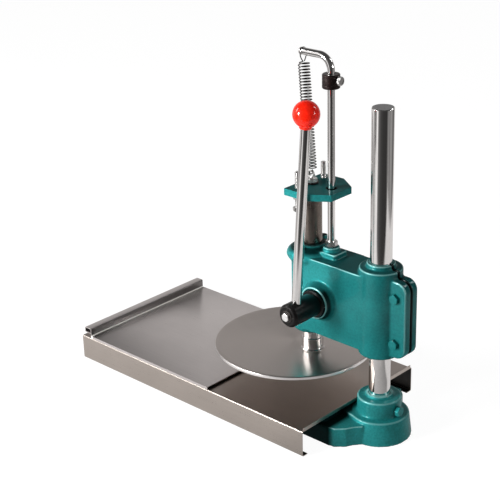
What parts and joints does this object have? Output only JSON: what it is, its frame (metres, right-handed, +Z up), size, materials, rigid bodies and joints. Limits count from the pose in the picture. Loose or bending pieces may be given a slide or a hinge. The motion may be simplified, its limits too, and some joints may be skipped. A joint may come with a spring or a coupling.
{
  "type": "pizza dough press",
  "caption": "Hand lever press with a round plate that flattens dough balls on a sliding steel board.",
  "frame": {"origin": "on the axis of the ram, in the plane of the bench that the press stands on", "axes": "+X runs along the tray from the press axis to the column, +Y points away from the lever's side, +Z is up"},
  "size_m": [0.5633, 0.2546, 0.5494],
  "materials": {
    "casting_paint": "glossy blue-green enamel",
    "sheet_steel": "brushed stainless sheet",
    "plate_steel": "turned and polished",
    "chrome": "bright hard chrome",
    "dark_steel": "ground, oiled steel",
    "zinc": "bright zinc plating",
    "black_steel": "black oxide",
    "bronze": "plain bronze",
    "red_plastic": "glossy moulded red"
  },
  "bodies": {
    "base": {"base_casting": "casting_paint", "base_set_screw": "casting_paint", "column": "chrome", "tray": "sheet_steel", "tray_stud_1": "zinc", "tray_stud_2": "zinc", "tray_stud_3": "zinc", "tray_stud_4": "zinc", "tray_nut_1": "zinc", "tray_nut_2": "zinc", "tray_nut_3": "zinc", "tray_nut_4": "zinc"},
    "board": {"slide_board": "sheet_steel"},
    "head": {"head_casting": "casting_paint", "low_clamp_bolt": "casting_paint", "high_clamp_bolt": "casting_paint", "low_clamp_nut": "casting_paint", "high_clamp_nut": "casting_paint", "near_bush": "bronze", "far_bush": "bronze", "guide_rod": "chrome", "guide_rod_nut": "zinc", "return_spring": "zinc"},
    "ram": {"ram": "dark_steel", "press_plate": "plate_steel", "plate_socket": "chrome", "socket_screw": "zinc", "top_plate": "casting_paint", "spring_anchor": "zinc", "anchor_nut": "zinc", "anchor_washer": "zinc", "near_lock_nut": "zinc", "far_lock_nut": "zinc"},
    "near_stop": {"near_stop_bolt": "zinc"},
    "far_stop": {"far_stop_bolt": "zinc"},
    "lever": {"pinion_shaft": "dark_steel", "pinion": "dark_steel", "pinion_key": "dark_steel", "hub_key": "dark_steel", "lever_hub": "black_steel", "hub_bolt": "zinc", "hub_washer": "zinc", "lever_rod": "chrome", "ball_knob": "red_plastic", "shaft_washer": "zinc", "shaft_circlip": "black_steel"},
    "collar": {"stop_collar": "black_steel"},
    "thumb": {"thumb_screw": "zinc"}
  },
  "joints": [
    {"name": "board_slide", "type": "slide", "parent": "base", "child": "board", "axis": [1, 0, 0], "range_m": [0, 0.185]},
    {"name": "head_lift", "type": "slide", "parent": "base", "child": "head", "axis": [0, 0, 1], "range_m": [-0.04, 0.2]},
    {"name": "lever_turn", "type": "hinge", "parent": "head", "child": "lever", "pos_m": [0.0403, 0, 0.1948], "axis": [0, -1, 0], "range_deg": [-26.5, 93.5]},
    {"name": "ram_press", "type": "slide", "parent": "head", "child": "ram", "axis": [0, 0, -1], "range_m": [-0.013, 0.0451], "stiffness_N_per_m": 900, "springref_m": -0.0395, "deforming": ["return_spring"]},
    {"name": "near_stop_adjust", "type": "slide", "parent": "ram", "child": "near_stop", "axis": [0, 0, 1], "range_m": [-0.018, 0.008]},
    {"name": "far_stop_adjust", "type": "slide", "parent": "ram", "child": "far_stop", "axis": [0, 0, 1], "range_m": [-0.018, 0.008]},
    {"name": "collar_slide", "type": "slide", "parent": "head", "child": "collar", "axis": [0, 0, 1], "range_m": [-0.125, 0]},
    {"name": "thumb_turn", "type": "hinge", "parent": "collar", "child": "thumb", "pos_m": [0.055, 0, 0.512], "axis": [1, 0, 0], "range_deg": [-180, 180]}
  ],
  "couplings": [
    {"joint": "ram_press", "follows": "lever_turn", "m_per_rad": 0.0275}
  ]
}
